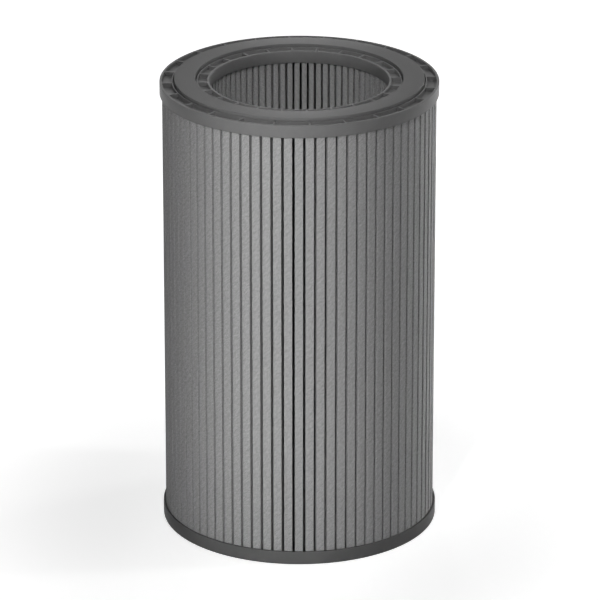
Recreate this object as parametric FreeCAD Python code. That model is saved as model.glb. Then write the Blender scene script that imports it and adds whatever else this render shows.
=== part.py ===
import FreeCAD, Part
import math
import os

# Overall sizes, in millimetres. The axis is Z, and the filter stands on Z = 0 with its front towards -Y.
rim_r = 100.0  # outer radius of both end caps
rim_h = 334.4  # from the floor to the plane of the top cap's rim
ring_w = 35.8  # radial width of the top cap, from its opening to its rim

# End caps
trough_wall = 1.6  # upright walls beside the pleat ends
top_plate = 1.6  # plate over the pleats
bottom_plate = 2.0  # closed plate under them
top_cap_h = 9.0  # from the rim's plane down to its lower edge
collar_h = 9.1  # the same at the opening
bottom_cap_h = 9.7
rim_bevel = 0.4  # upper outer edge of the rim

# Pockets, ring walls and ribs on top
pocket_depth = 3.0
rim_lip = 1.9  # rim's width beside the outer pockets
collar_lip = 1.7  # collar's width beside the inner pockets
outer_pocket_w = 6.8
inner_pocket_w = 6.6
ring_wall = 0.9  # thin walls on both sides of the seal
rib_count = 24
rib_w = 1.3
rib_phase = 4.4  # degrees from the front, towards +X
rib_root = 0.4  # how far a rib runs into the walls and the plate

# Seal
seal_gap = 0.9  # open groove on each side
seal_proud = 2.4  # middle of its face above the rim's plane
seal_bevel = 0.4

# Pleated sheet
pleat_pitch = 7.72  # from fold to fold, round the outside
sheet_t = 1.2
outer_gap = 1.8  # between outer folds
inner_gap = 1.55  # between inner folds
fold_bevel = 0.35
pleat_phase = -0.16  # degrees from the front to the middle of an outer fold
pleat_lean = -0.7  # degrees that the inner folds are turned from the outer ones
pleat_clear = 0.15  # from the folds to the trough walls

# Adhesive under the cut ends, in both troughs
potting_h = 1.5

# Sizes that follow from them
collar_r = rim_r - ring_w
trough_r = rim_r - trough_wall
pleat_outer_r = trough_r - pleat_clear
pleat_inner_r = collar_r + trough_wall + pleat_clear
pleat_count = round(2 * math.pi * pleat_outer_r / pleat_pitch)
pocket_floor_z = rim_h - pocket_depth
trough_top_z = pocket_floor_z - top_plate
outer_wall_r = rim_r - rim_lip - outer_pocket_w
inner_wall_r = collar_r + collar_lip + inner_pocket_w


def outline(corners):
    """Closed wire through (point, bevel) corners. A bevel of 0 leaves the corner sharp."""
    points = []
    for i, (corner, bevel) in enumerate(corners):
        before = corners[i - 1][0]
        after = corners[(i + 1) % len(corners)][0]
        if bevel:
            points.append(corner + (before - corner).normalize() * bevel)
            points.append(corner + (after - corner).normalize() * bevel)
        else:
            points.append(corner)
    return Part.makePolygon(points + points[:1])


def turned(section):
    """Solid of revolution from (radius, height, bevel) corners."""
    corners = [(FreeCAD.Vector(r, 0, z), bevel) for r, z, bevel in section]
    face = Part.Face(outline(corners))
    return face.revolve(FreeCAD.Vector(0, 0, 0), FreeCAD.Vector(0, 0, 1), 360)


def from_front(radius, degrees):
    """Point at a radius and an angle from the front, on the floor."""
    angle = math.radians(degrees)
    return FreeCAD.Vector(radius * math.sin(angle), -radius * math.cos(angle), 0)


def rib_ring(inner_r, outer_r):
    """Radial ribs across one ring of pockets, level with the rim and rooted in the walls and the plate."""
    length = outer_r - inner_r + 2 * rib_root
    height = pocket_depth + rib_root
    corner = FreeCAD.Vector(-rib_w / 2, -outer_r - rib_root, rim_h - height)
    rib = Part.makeBox(rib_w, length, height, corner)
    ribs = []
    for i in range(rib_count):
        copy = rib.copy()
        copy.rotate(FreeCAD.Vector(0, 0, 0), FreeCAD.Vector(0, 0, 1), rib_phase + i * 360 / rib_count)
        ribs.append(copy)
    return ribs


def top_end_cap():
    body = turned([
        (rim_r, rim_h - top_cap_h, 0),
        (rim_r, rim_h, rim_bevel),
        (rim_r - rim_lip, rim_h, 0),
        (rim_r - rim_lip, pocket_floor_z, 0),
        (outer_wall_r, pocket_floor_z, 0),
        (outer_wall_r, rim_h, 0),
        (outer_wall_r - ring_wall, rim_h, 0),
        (outer_wall_r - ring_wall, pocket_floor_z, 0),
        (inner_wall_r + ring_wall, pocket_floor_z, 0),
        (inner_wall_r + ring_wall, rim_h, 0),
        (inner_wall_r, rim_h, 0),
        (inner_wall_r, pocket_floor_z, 0),
        (collar_r + collar_lip, pocket_floor_z, 0),
        (collar_r + collar_lip, rim_h, 0),
        (collar_r, rim_h, 0),
        (collar_r, rim_h - collar_h, 0),
        (collar_r + trough_wall, rim_h - collar_h, 0),
        (collar_r + trough_wall, trough_top_z, 0),
        (trough_r, trough_top_z, 0),
        (trough_r, rim_h - top_cap_h, 0),
    ])
    outer_ribs = rib_ring(outer_wall_r, rim_r - rim_lip)
    inner_ribs = rib_ring(collar_r + collar_lip, inner_wall_r)
    return body.fuse(outer_ribs + inner_ribs).removeSplitter()


def outlet_seal():
    inner_r = inner_wall_r + ring_wall + seal_gap
    outer_r = outer_wall_r - ring_wall - seal_gap
    return turned([
        (inner_r, pocket_floor_z, 0),
        (outer_r, pocket_floor_z, 0),
        (outer_r, rim_h + seal_proud, seal_bevel),
        (inner_r, rim_h + seal_proud, seal_bevel),
    ])


def bottom_end_cap():
    return turned([
        (0, 0, 0),
        (rim_r, 0, 0),
        (rim_r, bottom_cap_h, 0),
        (trough_r, bottom_cap_h, 0),
        (trough_r, bottom_plate, 0),
        (collar_r + trough_wall, bottom_plate, 0),
        (collar_r + trough_wall, bottom_cap_h, 0),
        (collar_r, bottom_cap_h, 0),
        (collar_r, bottom_plate, 0),
        (0, bottom_plate, 0),
    ])


def pleated_media():
    """One sheet folded into upright pleats: both of its faces are followed round, fold by fold."""
    pitch = 360 / pleat_count
    crown_r = pleat_outer_r - sheet_t  # inside of an outer fold
    valley_r = pleat_inner_r + sheet_t  # outside of an inner fold
    outer_mouth = math.degrees(outer_gap / pleat_outer_r) / 2
    inner_mouth = math.degrees(inner_gap / pleat_inner_r) / 2
    crown_half = pitch / 2 - outer_mouth - math.degrees(sheet_t / crown_r)
    valley_half = pitch / 2 - inner_mouth - math.degrees(sheet_t / valley_r)
    outside = []
    inside = []
    for i in range(pleat_count):
        crown = pleat_phase + i * pitch
        inner = crown + pleat_lean
        outside += [
            (from_front(pleat_outer_r, crown - pitch / 2 + outer_mouth), fold_bevel),
            (from_front(pleat_outer_r, crown + pitch / 2 - outer_mouth), fold_bevel),
            (from_front(valley_r, inner + pitch / 2 - valley_half), 0),
            (from_front(valley_r, inner + pitch / 2 + valley_half), 0),
        ]
        inside += [
            (from_front(pleat_inner_r, inner - inner_mouth), fold_bevel),
            (from_front(crown_r, crown - crown_half), 0),
            (from_front(crown_r, crown + crown_half), 0),
            (from_front(pleat_inner_r, inner + inner_mouth), fold_bevel),
        ]
    sheet = Part.makeFace([outline(outside), outline(inside)], "Part::FaceMakerBullseye")
    low = bottom_plate + potting_h
    high = trough_top_z - potting_h
    sheet.translate(FreeCAD.Vector(0, 0, low))
    return sheet.extrude(FreeCAD.Vector(0, 0, high - low))


def potting(low):
    """Ring of adhesive between the trough's walls, on which the cut ends of the pleats sit."""
    return turned([
        (collar_r + trough_wall, low, 0),
        (trough_r, low, 0),
        (trough_r, low + potting_h, 0),
        (collar_r + trough_wall, low + potting_h, 0),
    ])


nodes = {
    "top_end_cap": top_end_cap(),
    "outlet_seal": outlet_seal(),
    "pleated_media": pleated_media(),
    "bottom_end_cap": bottom_end_cap(),
    "top_potting": potting(trough_top_z - potting_h),
    "bottom_potting": potting(bottom_plate),
}

os.makedirs("parts", exist_ok=True)
for name, shape in nodes.items():
    print(f"{name}: {len(shape.Solids)} solid, {shape.Volume / 1000:.1f} cm3, valid {shape.isValid()}")
    shape.exportStep(f"parts/{name}.step")
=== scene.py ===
import math

import bmesh
import bpy
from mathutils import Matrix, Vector


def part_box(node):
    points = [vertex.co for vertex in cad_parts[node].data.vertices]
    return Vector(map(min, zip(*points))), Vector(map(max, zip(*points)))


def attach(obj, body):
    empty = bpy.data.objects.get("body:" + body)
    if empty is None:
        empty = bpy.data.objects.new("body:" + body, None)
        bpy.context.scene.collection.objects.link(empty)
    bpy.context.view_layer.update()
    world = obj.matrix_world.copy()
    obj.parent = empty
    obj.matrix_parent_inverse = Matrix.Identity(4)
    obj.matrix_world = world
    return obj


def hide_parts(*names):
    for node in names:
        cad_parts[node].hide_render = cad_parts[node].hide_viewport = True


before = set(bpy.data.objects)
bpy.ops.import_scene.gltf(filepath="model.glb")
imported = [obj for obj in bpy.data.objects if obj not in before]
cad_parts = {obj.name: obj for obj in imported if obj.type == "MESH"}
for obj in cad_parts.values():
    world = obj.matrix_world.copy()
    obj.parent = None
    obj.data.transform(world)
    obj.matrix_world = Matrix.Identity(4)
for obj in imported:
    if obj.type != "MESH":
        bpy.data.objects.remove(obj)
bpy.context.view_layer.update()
mm = 0.001

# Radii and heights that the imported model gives, in metres
capLow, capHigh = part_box("top_end_cap")
sealLow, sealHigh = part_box("outlet_seal")
sheetLow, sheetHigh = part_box("pleated_media")
baseLow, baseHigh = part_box("bottom_end_cap")
rimRadius = capHigh.x
rimHeight = capHigh.z


def polar(radius, degrees, height=0.0):
    # a point at an angle from the front, towards the right
    angle = math.radians(degrees)
    return Vector((radius * math.sin(angle), -radius * math.cos(angle), height))


def roundedPath(corners, steps, closed=False):
    # 2D path through (point, radius) corners, each radius as an arc of a few steps
    path = []
    last = len(corners) - 1
    for i, (corner, radius) in enumerate(corners):
        if radius == 0 or (not closed and i in (0, last)):
            path.append(corner)
            continue
        toBefore = (corners[i - 1][0] - corner).normalized()
        toAfter = (corners[(i + 1) % len(corners)][0] - corner).normalized()
        half = toBefore.angle(toAfter) / 2
        reach = radius / math.tan(half)
        middle = corner + (toBefore + toAfter).normalized() * (radius / math.sin(half))
        start = corner + toBefore * reach - middle
        end = corner + toAfter * reach - middle
        for step in range(steps + 1):
            share = step / steps
            path.append(middle + (start * (1 - share) + end * share).normalized() * radius)
    return path


def newPiece(name, mesh):
    piece = bpy.data.objects.new(name, mesh)
    bpy.context.scene.collection.objects.link(piece)
    return piece


def meshOf(name, build, smoothAngle):
    # a mesh from a bmesh function, with hard edges only where it bends more than the angle
    work = bmesh.new()
    build(work)
    mesh = bpy.data.meshes.new(name)
    work.to_mesh(mesh)
    work.free()
    mesh.shade_smooth()
    mesh.set_sharp_from_angle(angle=math.radians(smoothAngle))
    return mesh


def tell(piece):
    triangles = sum(len(face.vertices) - 2 for face in piece.data.polygons)
    print(f"{piece.name}: {triangles} triangles")


def settle(piece, smoothAngle):
    # what the modifiers make becomes the piece's own plain mesh
    depsgraph = bpy.context.evaluated_depsgraph_get()
    made = bpy.data.meshes.new_from_object(piece.evaluated_get(depsgraph), depsgraph=depsgraph)
    before = piece.data
    piece.modifiers.clear()
    piece.data = made
    bpy.data.meshes.remove(before)
    made.name = piece.name
    made.shade_smooth()
    made.set_sharp_from_angle(angle=math.radians(smoothAngle))
    tell(piece)


# Node helpers

def fill(tree, socket, value):
    if isinstance(value, bpy.types.NodeSocket):
        tree.links.new(value, socket)
    else:
        socket.default_value = value


def node(tree, kind, settings=None, **inputs):
    made = tree.nodes.new(kind)
    for name, value in (settings or {}).items():
        setattr(made, name, value)
    for name, value in inputs.items():
        fill(tree, made.inputs[name.replace("_", " ")], value)
    return made


def reckon(tree, operation, *values):
    made = node(tree, "ShaderNodeMath", {"operation": operation})
    for socket, value in zip(made.inputs, values):
        fill(tree, socket, value)
    return made.outputs[0]


def reckonVector(tree, operation, *values):
    made = node(tree, "ShaderNodeVectorMath", {"operation": operation})
    for socket, value in zip(made.inputs, values):
        fill(tree, socket, value)
    return made


def treeInput(tree, name, kind, value=None):
    socket = tree.interface.new_socket(name, in_out="INPUT", socket_type=kind)
    if value is not None:
        socket.default_value = value
    return socket.identifier


def grey(value):
    return (value, value, value, 1)


# Materials

cloudRange = (0.3, 0.7)  # what the slow noise mostly keeps to


def newMaterial(name, **surface):
    material = bpy.data.materials.new(name)
    material.use_nodes = True
    tree = material.node_tree
    shader = tree.nodes["Principled BSDF"]
    for key, value in surface.items():
        shader.inputs[key.replace("_", " ")].default_value = value
    return material, tree, shader


def cloud(tree, shader, place, look, tone):
    # slow noise that shifts the grey, and with it the roughness between its two limits
    noise = node(
        tree, "ShaderNodeTexNoise", Vector=place,
        Scale=look["cloudScale"], Detail=4.0, Roughness=look["cloudDetail"],
    ).outputs["Fac"]
    tint = node(tree, "ShaderNodeValToRGB", Fac=noise)
    for stop, position, sign in zip(tint.color_ramp.elements, cloudRange, (-1, 1)):
        stop.position = position
        stop.color = grey(tone * (1 + sign * look["mottle"]))
    tree.links.new(tint.outputs["Color"], shader.inputs["Base Color"])
    smooth, rough = look["roughness"]
    matt = node(
        tree, "ShaderNodeMapRange", Value=noise,
        From_Min=cloudRange[0], From_Max=cloudRange[1], To_Min=smooth, To_Max=rough,
    )
    tree.links.new(matt.outputs["Result"], shader.inputs["Roughness"])


def relief(tree, shader, height, depth, strength=0.5):
    # bumps of a depth in millimetres
    bump = node(tree, "ShaderNodeBump", Height=height, Strength=strength, Distance=depth * mm)
    tree.links.new(bump.outputs["Normal"], shader.inputs["Normal"])


def aroundTheAxis(tree, radius):
    # Object coordinates unrolled: round the axis, out from it and up, in millimetres
    place = node(tree, "ShaderNodeTexCoord").outputs["Object"]
    split = node(tree, "ShaderNodeSeparateXYZ", Vector=place)
    turn = reckon(tree, "ARCTAN2", split.outputs["X"], reckon(tree, "MULTIPLY", split.outputs["Y"], -1.0))
    level = node(tree, "ShaderNodeCombineXYZ", X=split.outputs["X"], Y=split.outputs["Y"])
    out = reckonVector(tree, "LENGTH", level.outputs[0])
    return node(
        tree, "ShaderNodeCombineXYZ",
        X=reckon(tree, "MULTIPLY", turn, radius / mm),
        Y=reckon(tree, "MULTIPLY", out.outputs["Value"], 1 / mm),
        Z=reckon(tree, "MULTIPLY", split.outputs["Z"], 1 / mm),
    ).outputs[0]


plastic = {
    "topGrey": 0.155,
    "topShine": 0.12,  # specular level
    # the same plastic as the top cap, painted darker: painted shade for the low band beside the floor
    "baseGreyPaintedShade": 0.108,
    "baseShine": 0.02,
    "mottle": 0.08,  # share by which the grey wanders
    "cloudScale": 38.0,  # clouds to the metre
    "cloudDetail": 0.6,
    "roughness": (0.40, 0.50),
    "grain": 0.45,  # millimetres between the points of the moulded grain
    "grainHeight": 0.02,
}


def mouldedPlastic(name, tone, shine):
    material, tree, shader = newMaterial(name, Specular_IOR_Level=shine)
    place = node(tree, "ShaderNodeTexCoord").outputs["Object"]
    cloud(tree, shader, place, plastic, tone)
    grain = node(tree, "ShaderNodeTexNoise", Vector=place, Scale=1 / (plastic["grain"] * mm), Detail=2.0)
    relief(tree, shader, grain.outputs["Fac"], plastic["grainHeight"])
    return material


cloth = {
    "grey": 0.285,
    "roughness": 0.85,
    "weaveTurn": 47.7,  # degrees that its fine lines rise towards the right
    "weaveStep": 4.02,  # millimetres from line to line
    "weaveWobble": 1.2,  # steps by which the lines wander
    "wobbleScale": 0.06,  # clouds to the millimetre
    "weaveShare": 0.032,  # how much of the grey the lines change, and so on for streaks and fibres
    "streakWidth": 0.7,  # millimetres, as are the other sizes here
    "streakLength": 2.6,
    "streakShare": 0.80,
    "fibre": 0.9,
    "fibreShare": 0.60,
    "napHeight": 0.10,
}


def filterCloth():
    material, tree, shader = newMaterial(
        "filterCloth", Roughness=cloth["roughness"], Specular_IOR_Level=0.2,
        Sheen_Weight=0.02, Sheen_Roughness=0.5,
    )
    place = aroundTheAxis(tree, sheetHigh.x)
    turn = (0, math.radians(cloth["weaveTurn"]), 0)
    turned = node(tree, "ShaderNodeMapping", Vector=place, Rotation=turn).outputs[0]
    across = node(tree, "ShaderNodeSeparateXYZ", Vector=turned).outputs["Z"]
    unrest = node(tree, "ShaderNodeTexNoise", Vector=place, Scale=cloth["wobbleScale"], Detail=2.0)
    steps = reckon(
        tree, "ADD", reckon(tree, "DIVIDE", across, cloth["weaveStep"]),
        reckon(tree, "MULTIPLY", unrest.outputs["Fac"], cloth["weaveWobble"]),
    )
    weave = reckon(tree, "SINE", reckon(tree, "MULTIPLY", steps, 2 * math.pi))

    def noisePart(where, scale, share):
        noise = node(tree, "ShaderNodeTexNoise", Vector=where, Scale=scale, Detail=2.0)
        return reckon(tree, "MULTIPLY", reckon(tree, "SUBTRACT", noise.outputs["Fac"], 0.5), share)

    stretch = (1 / cloth["streakLength"], 1, 1 / cloth["streakWidth"])
    longWays = node(tree, "ShaderNodeMapping", Vector=turned, Scale=stretch).outputs[0]
    streaks = noisePart(longWays, 1.0, cloth["streakShare"])
    fibres = noisePart(place, 1 / cloth["fibre"], cloth["fibreShare"])
    lines = reckon(tree, "MULTIPLY", weave, cloth["weaveShare"])
    pattern = reckon(tree, "ADD", lines, reckon(tree, "ADD", streaks, fibres))
    tone = reckon(tree, "MULTIPLY", reckon(tree, "ADD", pattern, 1.0), cloth["grey"])
    tint = node(tree, "ShaderNodeCombineColor", Red=tone, Green=tone, Blue=tone)
    tree.links.new(tint.outputs["Color"], shader.inputs["Base Color"])
    relief(tree, shader, pattern, cloth["napHeight"])
    return material


rubber = {
    "grey": 0.124,
    "mottle": 0.06,  # share by which the grey wanders
    "cloudScale": 0.12,  # clouds to the millimetre
    "cloudDetail": 0.65,
    "shine": 0.26,  # specular level
    "ringShine": 0.95,  # how much the fine rings draw the shine out
    "grooves": 0.6,  # millimetres between the fine rings on its face
    "grooveHeight": 0.02,
    "roughness": (0.46, 0.54),
}


def sealRubber():
    material, tree, shader = newMaterial(
        "sealRubber", Specular_IOR_Level=rubber["shine"], Anisotropic=rubber["ringShine"],
    )
    place = aroundTheAxis(tree, sealHigh.x)
    cloud(tree, shader, place, rubber, rubber["grey"])
    out = node(tree, "ShaderNodeSeparateXYZ", Vector=place).outputs["Y"]
    rings = reckon(tree, "SINE", reckon(tree, "MULTIPLY", out, 2 * math.pi / rubber["grooves"]))
    relief(tree, shader, rings, rubber["grooveHeight"])
    along = node(tree, "ShaderNodeTangent", {"direction_type": "UV_MAP", "uv_map": "around"})
    tree.links.new(along.outputs["Tangent"], shader.inputs["Tangent"])
    return material


adhesive = {
    "greys": (0.10, 0.14),
    "roughness": (0.30, 0.45),
    "lumps": 160.0,  # to the metre
    "lumpHeight": 0.3,  # millimetres
}


def pottingAdhesive():
    material, tree, shader = newMaterial("pottingAdhesive", Specular_IOR_Level=0.5)
    place = node(tree, "ShaderNodeTexCoord").outputs["Object"]
    noise = node(tree, "ShaderNodeTexNoise", Vector=place, Scale=adhesive["lumps"], Detail=3.0)
    lumps = noise.outputs["Fac"]
    tint = node(tree, "ShaderNodeValToRGB", Fac=lumps)
    for stop, tone in zip(tint.color_ramp.elements, adhesive["greys"]):
        stop.color = grey(tone)
    tree.links.new(tint.outputs["Color"], shader.inputs["Base Color"])
    smooth, rough = adhesive["roughness"]
    gloss = node(tree, "ShaderNodeMapRange", Value=lumps, To_Min=smooth, To_Max=rough)
    tree.links.new(gloss.outputs["Result"], shader.inputs["Roughness"])
    relief(tree, shader, lumps, adhesive["lumpHeight"], 0.4)
    return material


topPlastic = mouldedPlastic("topCapPlastic", plastic["topGrey"], plastic["topShine"])
# the bottom cap gets a darker copy of the top cap's plastic, its darker grey being painted shade
basePlasticPaintedShade = mouldedPlastic("baseCapPlastic", plastic["baseGreyPaintedShade"], plastic["baseShine"])
clothFinish = filterCloth()
rubberFinish = sealRubber()
adhesiveFinish = pottingAdhesive()
print("materials made")


# One sector or one fold, repeated round the axis

def ringTree(name):
    tree = bpy.data.node_groups.new(name, "GeometryNodeTree")
    treeInput(tree, "Geometry", "NodeSocketGeometry")
    tree.interface.new_socket("Geometry", in_out="OUTPUT", socket_type="NodeSocketGeometry")
    names = {
        "Repeats": treeInput(tree, "Repeats", "NodeSocketInt", 24),
        "Weld Distance": treeInput(tree, "Weld Distance", "NodeSocketFloat", 0.00001),
        "Wander": treeInput(tree, "Wander", "NodeSocketFloat", 0.0),
        "Wander Scale": treeInput(tree, "Wander Scale", "NodeSocketFloat", 10.0),
        "Seed": treeInput(tree, "Seed", "NodeSocketFloat", 0.0),
        "Finish": treeInput(tree, "Finish", "NodeSocketMaterial"),
    }
    given = node(tree, "NodeGroupInput")
    points = node(tree, "GeometryNodePoints", Count=given.outputs["Repeats"])
    number = node(tree, "GeometryNodeInputIndex").outputs["Index"]
    share = reckon(tree, "DIVIDE", number, given.outputs["Repeats"])
    turn = node(tree, "ShaderNodeCombineXYZ", Z=reckon(tree, "MULTIPLY", share, 2 * math.pi))
    placed = node(
        tree, "GeometryNodeInstanceOnPoints", Points=points.outputs[0],
        Instance=given.outputs["Geometry"], Rotation=turn.outputs[0],
    )
    real = node(tree, "GeometryNodeRealizeInstances", Geometry=placed.outputs[0])
    welded = node(
        tree, "GeometryNodeMergeByDistance", Geometry=real.outputs[0],
        Distance=given.outputs["Weld Distance"],
    )
    unrest = node(
        tree, "ShaderNodeTexNoise", {"noise_dimensions": "4D"},
        W=given.outputs["Seed"], Scale=given.outputs["Wander Scale"], Detail=1.0,
    )
    centred = reckonVector(tree, "SUBTRACT", unrest.outputs["Color"], (0.5, 0.5, 0.5))
    level = node(tree, "ShaderNodeCombineXYZ", X=given.outputs["Wander"], Y=given.outputs["Wander"])
    push = reckonVector(tree, "MULTIPLY", centred.outputs[0], level.outputs[0])
    moved = node(tree, "GeometryNodeSetPosition", Geometry=welded.outputs[0], Offset=push.outputs[0])
    done = node(
        tree, "GeometryNodeSetMaterial", Geometry=moved.outputs[0], Material=given.outputs["Finish"],
    )
    node(tree, "NodeGroupOutput", Geometry=done.outputs[0])
    return tree, names


repeatRound, repeatInputs = ringTree("repeatRoundAxis")


def repeatPiece(piece, **values):
    modifier = piece.modifiers.new("round", "NODES")
    modifier.node_group = repeatRound
    for name, value in values.items():
        modifier[repeatInputs[name.replace("_", " ")]] = value


# Top end cap, built as one sector with its rib and its pockets

topCap = {
    "ribs": 24,
    "ribWidth": 1.3,  # millimetres, as all sizes here
    "ribTurn": 4.4,  # degrees from the front
    "ringWidth": 35.8,
    "pocketColumns": 8,
    "wall": 1.6,
    "plate": 1.6,
    "rimSkirt": 9.0,
    "pocketDepth": 3.0,
    "rimLip": 1.9,
    "collarLip": 1.7,
    "outerPocket": 6.8,
    "innerPocket": 6.6,
    "ringWall": 0.9,
    "rimRound": 0.35,
    "collarRound": 0.6,
    "edgeRound": 0.14,  # on all the other edges
}

collarRadius = rimRadius - topCap["ringWidth"] * mm


def topCapSector(work):
    size = {key: value * mm for key, value in topCap.items()}
    rim, high, collar = rimRadius, rimHeight, collarRadius
    floor = high - size["pocketDepth"]
    under = floor - size["plate"]
    outerWall = rim - size["rimLip"] - size["outerPocket"]
    innerWall = collar + size["collarLip"] + size["innerPocket"]
    section = [
        (rim, high - size["rimSkirt"], 0),
        (rim, high, size["rimRound"]),
        (rim - size["rimLip"], high, 0),
        (rim - size["rimLip"], floor, 0),
        (outerWall, floor, 0),
        (outerWall, high, 0),
        (outerWall - size["ringWall"], high, 0),
        (outerWall - size["ringWall"], floor, 0),
        (innerWall + size["ringWall"], floor, 0),
        (innerWall + size["ringWall"], high, 0),
        (innerWall, high, 0),
        (innerWall, floor, 0),
        (collar + size["collarLip"], floor, 0),
        (collar + size["collarLip"], high, 0),
        (collar, high, size["collarRound"]),
        (collar, capLow.z, 0),
        (collar + size["wall"], capLow.z, 0),
        (collar + size["wall"], under, 0),
        (rim - size["wall"], under, 0),
        (rim - size["wall"], high - size["rimSkirt"], 0),
    ]
    corners = [(Vector((r, z)), rounding) for r, z, rounding in section]
    path = roundedPath(corners, 4, closed=True)
    pitch = 360 / topCap["ribs"]

    def station(share):
        # share 0 and -1 are the rib's two sides, 1 is the next rib's first side
        column = []
        for spot in path:
            half = math.degrees(math.asin(size["ribWidth"] / 2 / spot.x))
            if share < 0:
                turn = -half
            else:
                turn = half + (pitch - 2 * half) * share
            column.append(work.verts.new(polar(spot.x, topCap["ribTurn"] + turn, spot.y)))
        return column

    count = topCap["pocketColumns"]
    columns = [station(-1)] + [station(i / count) for i in range(count + 1)]
    spots = [(round(p.x / mm, 3), round(p.y / mm, 3)) for p in path]

    def spotOf(radius, height):
        return spots.index((round(radius / mm, 3), round(height / mm, 3)))

    pockets = [
        (spotOf(rim - size["rimLip"], high), spotOf(outerWall, high)),
        (spotOf(innerWall, high), spotOf(collar + size["collarLip"], high)),
    ]
    total = len(path)
    for number, (left, right) in enumerate(zip(columns, columns[1:])):
        skipped = set()
        if number == 0:
            for first, last in pockets:
                skipped.update(range(first, last))
                work.faces.new((left[first], left[last], right[last], right[first]))
        for i in range(total):
            if i not in skipped:
                j = (i + 1) % total
                work.faces.new((left[i], left[j], right[j], right[i]))
    for first, last in pockets:
        for column in columns[:2]:
            work.faces.new(column[first:last + 1])
    bmesh.ops.recalc_face_normals(work, faces=work.faces)


capMesh = meshOf("topEndCap", topCapSector, 30)
topEndCap = newPiece("topEndCap", capMesh)
repeatPiece(topEndCap, Repeats=topCap["ribs"], Finish=topPlastic)
edges = topEndCap.modifiers.new("edges", "BEVEL")
edges.width = topCap["edgeRound"] * mm
edges.segments = 2
edges.limit_method = "ANGLE"
edges.angle_limit = math.radians(50)
settle(topEndCap, 35)


# Turned pieces: the seal and the bottom cap

def turnedPiece(name, section, columns, arcSteps, finish, smoothAngle):
    corners = [(Vector((r, z)), rounding) for r, z, rounding in section]
    path = roundedPath(corners, arcSteps, closed=True)

    def build(work):
        unrolled = work.loops.layers.uv.new("around")
        rings = []
        for spot in path:
            if spot.x < 1e-9:
                rings.append([work.verts.new((0, 0, spot.y))] * columns)
            else:
                rings.append([
                    work.verts.new(polar(spot.x, 360 * i / columns, spot.y)) for i in range(columns)
                ])
        for k, ring in enumerate(rings):
            after = rings[(k + 1) % len(rings)]
            for i in range(columns):
                j = (i + 1) % columns
                kept = list(dict.fromkeys((ring[i], after[i], after[j], ring[j])))
                if len(kept) < 3:
                    continue
                face = work.faces.new(kept)
                for loop in face.loops:
                    ahead = loop.vert in (after[j], ring[j])
                    beyond = loop.vert in (after[i], after[j])
                    loop[unrolled].uv = ((i + ahead) / columns, (k + beyond) / len(rings))
        bmesh.ops.recalc_face_normals(work, faces=work.faces)

    piece = newPiece(name, meshOf(name, build, smoothAngle))
    piece.data.materials.append(finish)
    tell(piece)
    return piece


seal = {
    "gap": 0.9,  # millimetres from each ring wall
    "round": 0.35,
    "crown": 0.3,  # how much its middle stands above its edges
    "crownSteps": 6,
    "columns": 240,
}

innerStack = topCap["collarLip"] + topCap["innerPocket"] + topCap["ringWall"]
sealInner = collarRadius + (innerStack + seal["gap"]) * mm
sealOuter = sealHigh.x
sealMiddle = (sealInner + sealOuter) / 2
sealEdge = sealHigh.z - seal["crown"] * mm
sealCrown = []
for i in range(seal["crownSteps"] - 1, -seal["crownSteps"], -1):
    fromMiddle = i / seal["crownSteps"]
    height = sealHigh.z - seal["crown"] * mm * fromMiddle ** 2
    sealCrown.append((sealMiddle + (sealOuter - sealInner) / 2 * fromMiddle, height, 0))
outletSeal = turnedPiece("outletSeal", [
    (sealInner, sealLow.z, 0),
    (sealOuter, sealLow.z, 0),
    (sealOuter, sealEdge, seal["round"] * mm),
    *sealCrown,
    (sealInner, sealEdge, seal["round"] * mm),
], seal["columns"], 5, rubberFinish, 40)

base = {
    "wall": 1.6,  # millimetres
    "plate": 2.0,
    "edgeRound": 0.3,
    "columns": 240,
}

baseRadius = baseHigh.x
baseWall = base["wall"] * mm
basePlate = base["plate"] * mm
baseRound = base["edgeRound"] * mm
bottomEndCap = turnedPiece("bottomEndCap", [
    (0, 0, 0),
    (baseRadius, 0, baseRound),
    (baseRadius, baseHigh.z, baseRound),
    (baseRadius - baseWall, baseHigh.z, baseRound),
    (baseRadius - baseWall, basePlate, 0),
    (collarRadius + baseWall, basePlate, 0),
    (collarRadius + baseWall, baseHigh.z, baseRound),
    (collarRadius, baseHigh.z, baseRound),
    (collarRadius, basePlate, baseRound),
    (0, basePlate, 0),
], base["columns"], 4, basePlasticPaintedShade, 40)


# Pleated sheet: one fold, repeated round the axis

pleats = {
    "pitch": 7.72,  # millimetres from fold to fold, round the outside
    "sheet": 1.2,
    "outerGap": 1.8,
    "innerGap": 1.55,
    "turn": -0.16,  # degrees from the front to the middle of a fold
    "lean": -0.7,  # degrees that the inner folds are turned from the outer ones
    "foldRound": 0.3,
    "insideRound": 0.25,
    "bulge": 0.5,  # share of the full arc across the top of a fold
    "clear": 0.15,  # from the trough's walls
    "rows": 10,
    "wander": 0.16,  # how far noise pushes the cloth, with so many clouds to the metre
    "wanderScale": 14.0,
    "seed": 3.0,
}

sheetOuter = sheetHigh.x
sheetInner = collarRadius + (topCap["wall"] + pleats["clear"]) * mm
pleatCount = round(2 * math.pi * sheetOuter / (pleats["pitch"] * mm))


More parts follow.
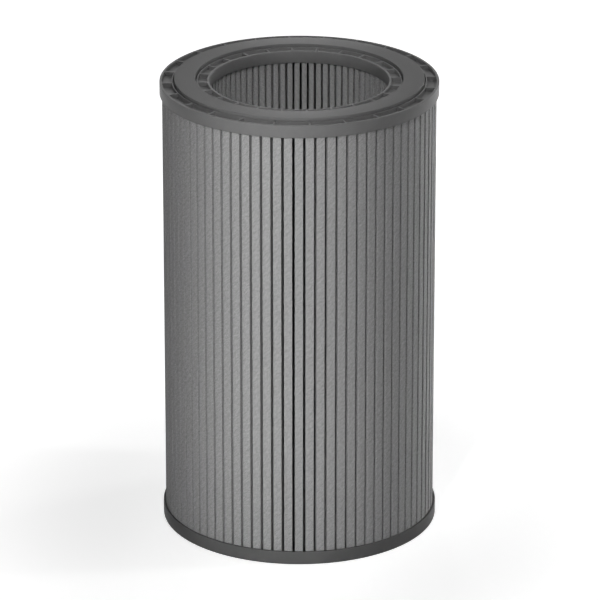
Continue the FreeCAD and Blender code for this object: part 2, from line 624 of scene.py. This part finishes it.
def pleatUnit(work):
    pitch = 360 / pleatCount
    thick = pleats["sheet"] * mm
    crown = sheetOuter - thick
    valley = sheetInner + thick
    outerMouth = math.degrees(pleats["outerGap"] * mm / sheetOuter) / 2
    innerMouth = math.degrees(pleats["innerGap"] * mm / sheetInner) / 2
    crownHalf = pitch / 2 - outerMouth - math.degrees(thick / crown)
    valleyHalf = pitch / 2 - innerMouth - math.degrees(thick / valley)
    outer = pleats["turn"]
    inner = outer + pleats["lean"]
    fold = pleats["foldRound"] * mm
    inside = pleats["insideRound"] * mm

    def across(radius, start, end, steps=4):
        # points between two corners, part of the way from the straight line to the arc
        a, b = polar(radius, start), polar(radius, end)
        points = []
        for i in range(1, steps):
            straight = a.lerp(b, i / steps)
            bowed = straight.normalized() * radius
            points.append((straight.lerp(bowed, pleats["bulge"]), 0))
        return points

    outerStart = (outer - pitch / 2 + outerMouth, outer + pitch / 2 - outerMouth)
    valleyTurn = (inner + pitch / 2 - valleyHalf, inner + pitch / 2 + valleyHalf)
    outward = [
        (polar(valley, valleyTurn[1] - pitch).lerp(polar(sheetOuter, outerStart[0]), 0.5), 0),
        (polar(sheetOuter, outerStart[0]), fold),
        *across(sheetOuter, *outerStart),
        (polar(sheetOuter, outerStart[1]), fold),
        (polar(valley, valleyTurn[0]), inside),
        (polar(valley, valleyTurn[1]), inside),
        (polar(valley, valleyTurn[1]).lerp(polar(sheetOuter, outerStart[0] + pitch), 0.5), 0),
    ]
    mouth = (inner + innerMouth, inner + pitch - innerMouth)
    crownTurn = (outer - crownHalf, outer + crownHalf)
    inward = [
        (polar(sheetInner, mouth[1] - pitch).lerp(polar(crown, crownTurn[0]), 0.5), 0),
        (polar(crown, crownTurn[0]), inside),
        (polar(crown, crownTurn[1]), inside),
        (polar(sheetInner, mouth[0]), fold),
        *across(sheetInner, *mouth),
        (polar(sheetInner, mouth[1]), fold),
        (polar(sheetInner, mouth[1]).lerp(polar(crown, crownTurn[0] + pitch), 0.5), 0),
    ]
    rows = pleats["rows"]
    ends = []
    for corners, faceOut in ((outward, True), (inward, False)):
        path = roundedPath(corners, 3)
        levels = []
        for row in range(rows + 1):
            height = sheetLow.z + (sheetHigh.z - sheetLow.z) * row / rows
            levels.append([work.verts.new((p.x, p.y, height)) for p in path])
        for low, high in zip(levels, levels[1:]):
            for i in range(len(path) - 1):
                quad = (low[i], low[i + 1], high[i + 1], high[i])
                work.faces.new(quad if faceOut else quad[::-1])
        ends.append((levels[0], levels[-1]))
    work.faces.new(ends[0][0][::-1] + ends[1][0])
    work.faces.new(ends[0][1] + ends[1][1][::-1])


pleatedMedia = newPiece("pleatedMedia", meshOf("pleatedMedia", pleatUnit, 60))
repeatPiece(
    pleatedMedia, Repeats=pleatCount, Wander=pleats["wander"] * mm,
    Wander_Scale=pleats["wanderScale"], Seed=pleats["seed"], Finish=clothFinish,
)
settle(pleatedMedia, 60)


# Every piece rides on the one body and takes the place of its plain solid

for piece, nodeName, slotName in (
    (topEndCap, "top_end_cap", "cap_plastic"),
    (bottomEndCap, "bottom_end_cap", "base_plastic"),
    (outletSeal, "outlet_seal", "seal_rubber"),
    (pleatedMedia, "pleated_media", "filter_cloth"),
):
    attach(piece, "root")
    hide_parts(nodeName)

for nodeName in ("top_potting", "bottom_potting"):
    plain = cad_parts[nodeName]
    plain.data.materials.clear()
    plain.data.materials.append(adhesiveFinish)
print("pieces placed")


# Floor, lights and camera

studio = {
    "floorGrey": 0.8,
    "floorRadius": 6.0,  # metres, as all lengths here but the drop
    "floorDrop": 0.1,  # millimetres, so that the floor and the filter's underside don't flicker
    "nearGlow": 0.68,  # the floor's glow beside the object, lower than far out: painted shade round the base, for the camera and in reflections; the camera sees at least this even in full shadow
    "farGlow": 1.0,
    "nearEnd": 0.11,  # distances from the axis between which the floor turns white
    "farStart": 0.34,
    "ambient": 0.10,  # light from all round
}

openSpread = 180
lamps = {
    # azimuth from the front towards the right, elevation, distance, width, height, spread and level.
    # Those with a narrow spread are gridded, and only the others are seen in a reflection.
    "frontLow": (-14, 0, 1.2, 0.08, 0.5, 14, 0.0098),
    "frontHigh": (-11, 32, 1.2, 0.08, 0.5, 14, 0.0098),
    "sideRight": (125, 0, 1.2, 0.08, 0.5, 14, 0.0201),
    "steepRight": (90, 52, 1.2, 0.12, 0.5, 16, 0.0050),
    "backLeft": (-172, 0, 1.2, 0.08, 0.5, 14, 0.0060),
    "softFront": (0, 35, 1.9, 0.5, 0.5, openSpread, 0.020),
    "softRight": (120, 14, 1.9, 0.4, 0.4, openSpread, 0.154),
    "softBack": (-174.5, 35, 1.9, 0.2, 0.5, openSpread, 0.046),
}

camera = {
    "distance": 3.649,
    "elevation": 21.383,
    "aimHeight": 0.16534,
    "sensor": 36,
    "lens": 301.37,
    "axisPixel": 299.35,  # where the filter's axis stands in the picture
    "pictureWidth": 600,
}


def pureWhiteForTheCamera(tree):
    # 1 on what the camera, a reflection or clear plastic sees, 0 for light that falls on the object
    path = node(tree, "ShaderNodeLightPath")
    seen = reckon(tree, "MAXIMUM", path.outputs["Is Camera Ray"], path.outputs["Is Glossy Ray"])
    return reckon(tree, "MAXIMUM", seen, path.outputs["Is Transmission Ray"])


def makeFloor():
    mesh = bpy.data.meshes.new("floor")
    depth = -studio["floorDrop"] * mm
    rim = [polar(studio["floorRadius"], degrees, depth) for degrees in range(0, 360, 5)]
    mesh.from_pydata(rim, [], [range(len(rim))])
    floor = newPiece("floor", mesh)
    material = bpy.data.materials.new("paleFloor")
    material.use_nodes = True
    tree = material.node_tree
    tree.nodes.clear()
    matt = node(tree, "ShaderNodeBsdfDiffuse", Color=grey(studio["floorGrey"]))
    away = reckonVector(tree, "LENGTH", node(tree, "ShaderNodeTexCoord").outputs["Object"])
    # the glow dims towards the object: painted shade round the base on top of the floor's real shadow,
    # also seen in reflections
    paintedShadeRing = node(
        tree, "ShaderNodeMapRange", {"interpolation_type": "SMOOTHSTEP"}, Value=away.outputs["Value"],
        From_Min=studio["nearEnd"], From_Max=studio["farStart"],
        To_Min=studio["nearGlow"], To_Max=studio["farGlow"],
    )
    glow = node(tree, "ShaderNodeEmission", Color=grey(1.0))
    strength = reckon(tree, "MULTIPLY", pureWhiteForTheCamera(tree), paintedShadeRing.outputs["Result"])
    tree.links.new(strength, glow.inputs["Strength"])
    both = node(tree, "ShaderNodeAddShader")
    tree.links.new(matt.outputs[0], both.inputs[0])
    tree.links.new(glow.outputs[0], both.inputs[1])
    node(tree, "ShaderNodeOutputMaterial", Surface=both.outputs[0])
    mesh.materials.append(material)


def makeWorld():
    world = bpy.data.worlds.new("studioAir")
    bpy.context.scene.world = world
    world.use_nodes = True
    tree = world.node_tree
    backdrop = tree.nodes["Background"]
    backdrop.inputs["Color"].default_value = grey(1.0)
    seen = pureWhiteForTheCamera(tree)
    mixed = reckon(tree, "MULTIPLY", seen, 1 - studio["ambient"])
    tree.links.new(reckon(tree, "ADD", mixed, studio["ambient"]), backdrop.inputs["Strength"])


def makeLamp(name, azimuth, elevation, distance, width, height, spread, level):
    lamp = bpy.data.lights.new(name, "AREA")
    lamp.shape = "RECTANGLE"
    lamp.size = width
    lamp.size_y = height
    lamp.spread = math.radians(spread)
    lamp.energy = level * math.pi ** 2 * distance ** 2
    holder = bpy.data.objects.new(name, lamp)
    bpy.context.scene.collection.objects.link(holder)
    aim = Vector((0, 0, rimHeight / 2))
    flat = distance * math.cos(math.radians(elevation))
    holder.location = aim + polar(flat, azimuth, distance * math.sin(math.radians(elevation)))
    holder.rotation_euler = (aim - holder.location).to_track_quat("-Z", "Y").to_euler()
    holder.visible_camera = False
    holder.visible_glossy = spread == openSpread


def makeCamera():
    data = bpy.data.cameras.new("camera")
    data.sensor_width = camera["sensor"]
    data.lens = camera["lens"]
    data.shift_x = (camera["pictureWidth"] / 2 - camera["axisPixel"]) / camera["pictureWidth"]
    data.clip_end = 50
    holder = bpy.data.objects.new("camera", data)
    bpy.context.scene.collection.objects.link(holder)
    tilt = math.radians(camera["elevation"])
    aim = Vector((0, 0, camera["aimHeight"]))
    holder.location = aim + Vector((0, -math.cos(tilt), math.sin(tilt))) * camera["distance"]
    holder.rotation_euler = (aim - holder.location).to_track_quat("-Z", "Y").to_euler()
    bpy.context.scene.camera = holder


makeFloor()
makeWorld()
for lampName, values in lamps.items():
    makeLamp(lampName, *values)
makeCamera()
bpy.context.scene.view_settings.view_transform = "Standard"
print("studio made")
